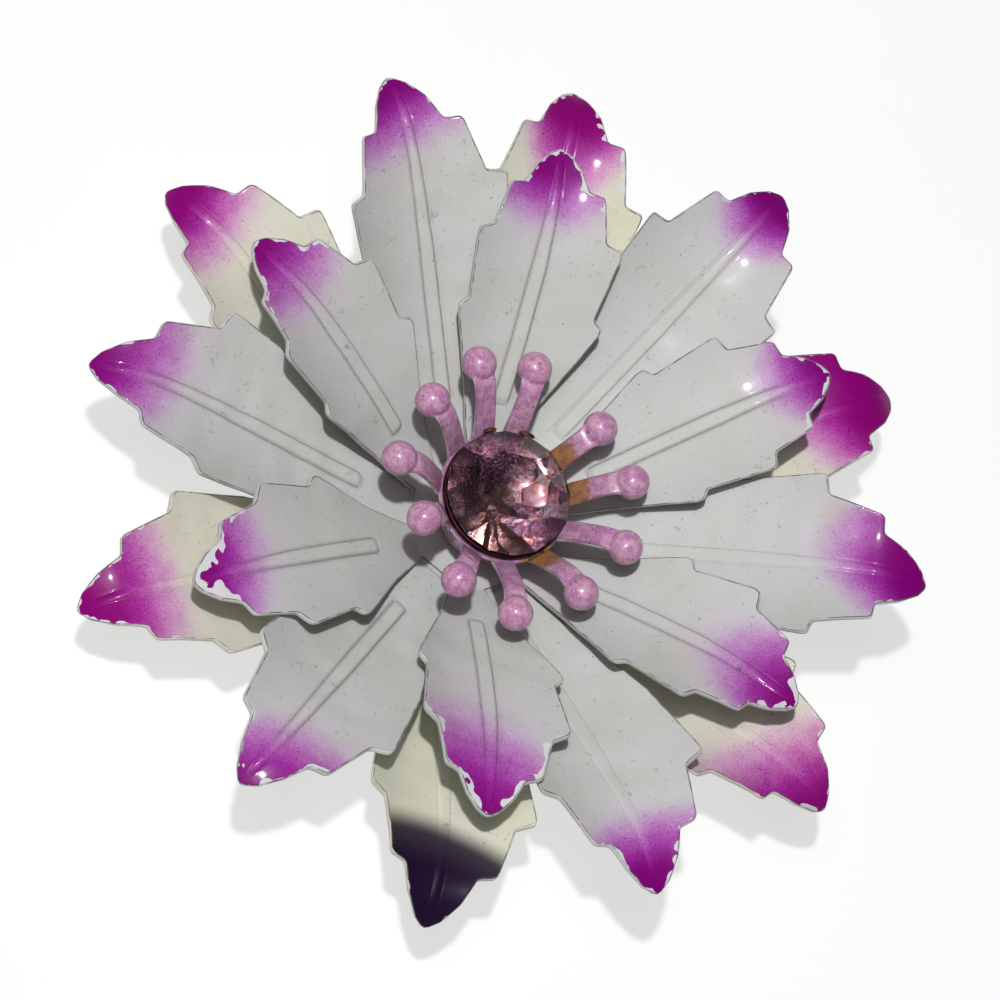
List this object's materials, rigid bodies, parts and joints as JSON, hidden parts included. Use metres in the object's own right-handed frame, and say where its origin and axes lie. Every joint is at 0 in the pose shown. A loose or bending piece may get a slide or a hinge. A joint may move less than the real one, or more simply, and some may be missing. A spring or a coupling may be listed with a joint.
{
  "type": "flower brooch",
  "caption": "Round brooch of layered, enamelled sheet-metal petals with toothed tips, round-ended stamens and a cut stone in a cup, on a closed pin back.",
  "frame": {"origin": "centre of the bounding box at the surface that the brooch lies on; the flower's axis passes 0.25 mm from it", "axes": "+Z along the flower's axis, from the pin to the stone; +X along the pin's bar, towards the catch"},
  "size_m": [0.0762, 0.0769, 0.0228],
  "materials": {
    "ivory_enamel": "gloss enamel, ivory with airbrushed purple tips, chipped",
    "white_enamel": "gloss enamel, cool white with airbrushed purple tips, chipped",
    "lilac_enamel": "gloss enamel, mottled lilac, stained at the roots",
    "dark_metal": "darkened, dull",
    "stone_glass": "cut and foiled at the back",
    "pin_metal": "worn"
  },
  "bodies": {
    "root": {"lower_petal_layer": "ivory_enamel", "middle_petal_layer": "white_enamel", "upper_petal_layer": "white_enamel", "stamens": "lilac_enamel", "stone_cup": "dark_metal", "stone": "stone_glass", "rivet": "pin_metal", "pin_back": "pin_metal"}
  },
  "joints": []
}
